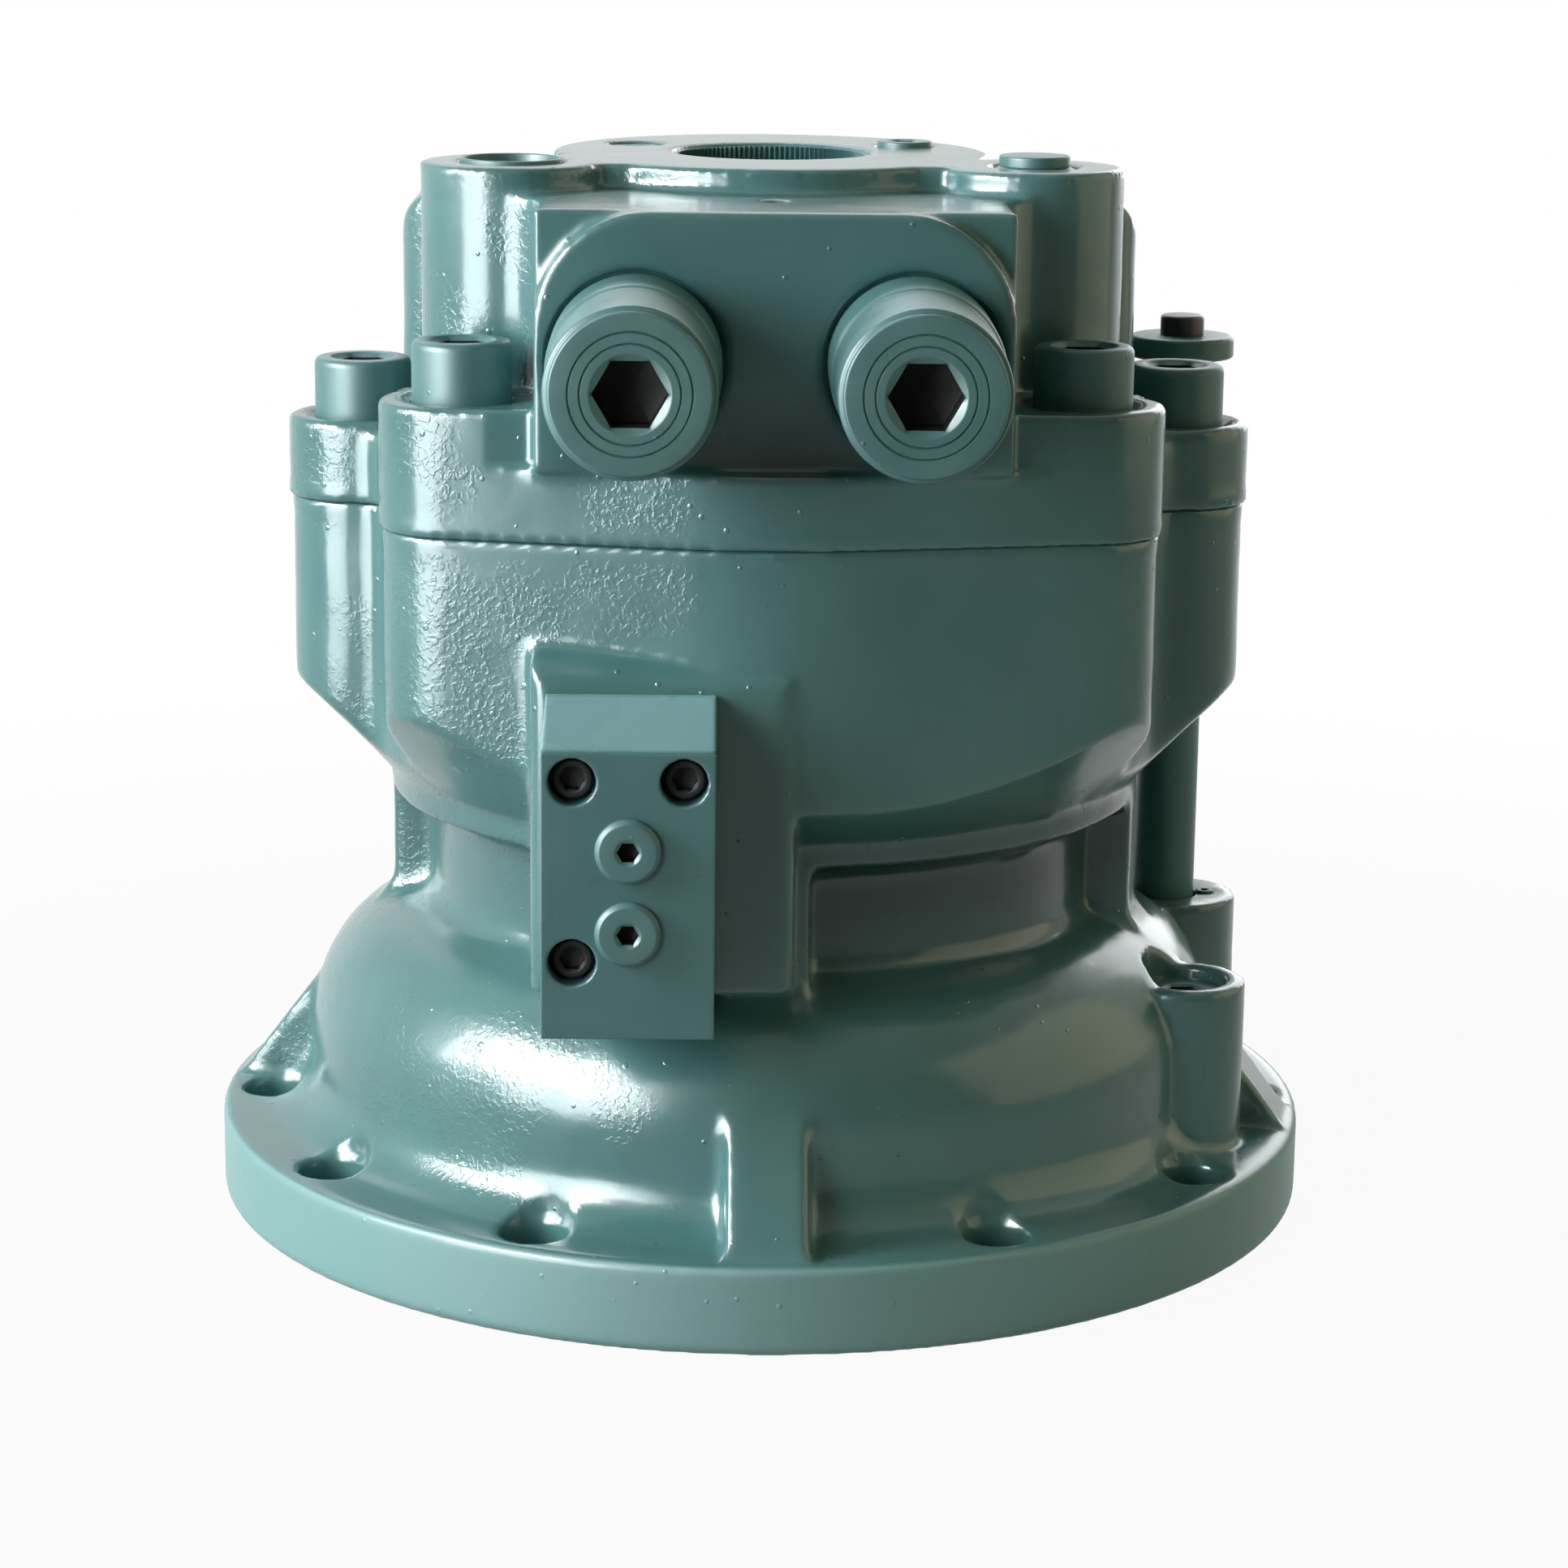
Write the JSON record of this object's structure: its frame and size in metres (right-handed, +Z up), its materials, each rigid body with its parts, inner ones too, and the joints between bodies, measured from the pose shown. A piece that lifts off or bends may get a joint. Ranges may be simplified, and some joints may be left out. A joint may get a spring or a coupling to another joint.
{
  "type": "excavator swing motor",
  "caption": "Hydraulic swing motor: bell-shaped flanged casing, lobed valve casing with relief valves, brake valve, level gauge and a swash-plate piston group with parking brake.",
  "frame": {"origin": "centre of the mounting flange's lower face, on the shaft axis", "axes": "+Z up along the shaft towards the valve casing; the relief valves and the brake valve face -Y, the main ports face +Y, and the level gauge is on the +X side"},
  "size_m": [0.32, 0.337, 0.3065],
  "materials": {
    "paint": "satin enamel over rough iron",
    "steel": "ground and oiled",
    "bronze": "turned",
    "rubber": "matt"
  },
  "bodies": {
    "housing": {"motor_casing": "paint", "valve_casing": "paint", "casing_seal": "rubber", "casing_screws": "paint", "relief_valve_left": "paint", "relief_valve_right": "paint", "relief_seats": "steel", "brake_valve_block": "paint", "brake_valve_screws": "paint", "brake_valve_plugs": "paint", "deck_plug_front_left": "paint", "deck_plug_front_right": "paint", "deck_plug_rear_left": "paint", "deck_plug_rear_right": "paint", "port_liner": "paint", "base_plug": "paint", "gauge_pipe": "paint", "gauge_boss_screw": "paint", "shaft_seal": "rubber", "snap_ring": "steel", "lower_bearing_cup": "steel", "upper_bearing_outer": "steel", "swash_plate": "steel", "valve_plate": "steel", "separator_plates": "steel"},
    "rotor": {"drive_shaft": "steel", "cylinder_block": "steel", "pistons": "steel", "friction_plates": "bronze", "retainer_ball": "steel", "block_spring": "steel", "lower_bearing_cone": "steel", "upper_bearing_inner": "steel"},
    "shoe_ring": {"piston_shoes": "bronze", "retainer_plate": "steel"},
    "lower_cage": {"lower_bearing_rollers": "steel", "lower_bearing_cage": "bronze"},
    "upper_cage": {"upper_bearing_rollers": "steel", "upper_bearing_cage": "bronze"},
    "brake_piston": {"brake_piston": "steel", "brake_piston_seals": "rubber", "brake_springs": "steel"},
    "relief_poppet_left": {"relief_poppet_left": "steel", "relief_spring_left": "steel"},
    "relief_poppet_right": {"relief_poppet_right": "steel", "relief_spring_right": "steel"},
    "make_up_poppet_left": {"make_up_poppet_left": "steel", "make_up_spring_left": "steel"},
    "make_up_poppet_right": {"make_up_poppet_right": "steel", "make_up_spring_right": "steel"},
    "brake_valve_spool": {"brake_valve_spool": "steel", "brake_valve_spring": "steel"},
    "level_gauge": {"level_gauge": "paint"}
  },
  "joints": [
    {"name": "shaft_spin", "type": "hinge", "parent": "housing", "child": "rotor", "pos_m": [0, 0, 0], "axis": [0, 0, 1], "continuous": true, "deforming": ["pistons"]},
    {"name": "shoe_ring_spin", "type": "hinge", "parent": "housing", "child": "shoe_ring", "pos_m": [0, 0, 0.13242], "axis": [0, -0.2588, 0.9659], "continuous": true},
    {"name": "lower_cage_spin", "type": "hinge", "parent": "housing", "child": "lower_cage", "pos_m": [0, 0, 0.0855], "axis": [0, 0, 1], "continuous": true},
    {"name": "upper_cage_spin", "type": "hinge", "parent": "housing", "child": "upper_cage", "pos_m": [0, 0, 0.22], "axis": [0, 0, 1], "continuous": true},
    {"name": "brake_release", "type": "slide", "parent": "housing", "child": "brake_piston", "axis": [0, 0, 1], "range_m": [0, 0.0025], "stiffness_N_per_m": 20000, "springref_m": -0.005, "deforming": ["brake_springs"]},
    {"name": "relief_left_lift", "type": "slide", "parent": "housing", "child": "relief_poppet_left", "axis": [0, -1, 0], "range_m": [0, 0.003], "stiffness_N_per_m": 2000, "springref_m": -0.01, "deforming": ["relief_spring_left"]},
    {"name": "relief_right_lift", "type": "slide", "parent": "housing", "child": "relief_poppet_right", "axis": [0, -1, 0], "range_m": [0, 0.003], "stiffness_N_per_m": 2000, "springref_m": -0.01, "deforming": ["relief_spring_right"]},
    {"name": "make_up_left_lift", "type": "slide", "parent": "housing", "child": "make_up_poppet_left", "axis": [0, 0, 1], "range_m": [0, 0.005], "stiffness_N_per_m": 500, "springref_m": -0.006, "deforming": ["make_up_spring_left"]},
    {"name": "make_up_right_lift", "type": "slide", "parent": "housing", "child": "make_up_poppet_right", "axis": [0, 0, 1], "range_m": [0, 0.005], "stiffness_N_per_m": 500, "springref_m": -0.006, "deforming": ["make_up_spring_right"]},
    {"name": "brake_valve_shift", "type": "slide", "parent": "housing", "child": "brake_valve_spool", "axis": [0, -1, 0], "range_m": [0, 0.004], "stiffness_N_per_m": 500, "springref_m": -0.003, "deforming": ["brake_valve_spring"]},
    {"name": "gauge_pull", "type": "slide", "parent": "housing", "child": "level_gauge", "axis": [0, 0, 1], "range_m": [0, 0.235]}
  ],
  "couplings": [
    {"joint": "shoe_ring_spin", "follows": "shaft_spin", "ratio": 1},
    {"joint": "lower_cage_spin", "follows": "shaft_spin", "ratio": 0.428},
    {"joint": "upper_cage_spin", "follows": "shaft_spin", "ratio": 0.434}
  ]
}
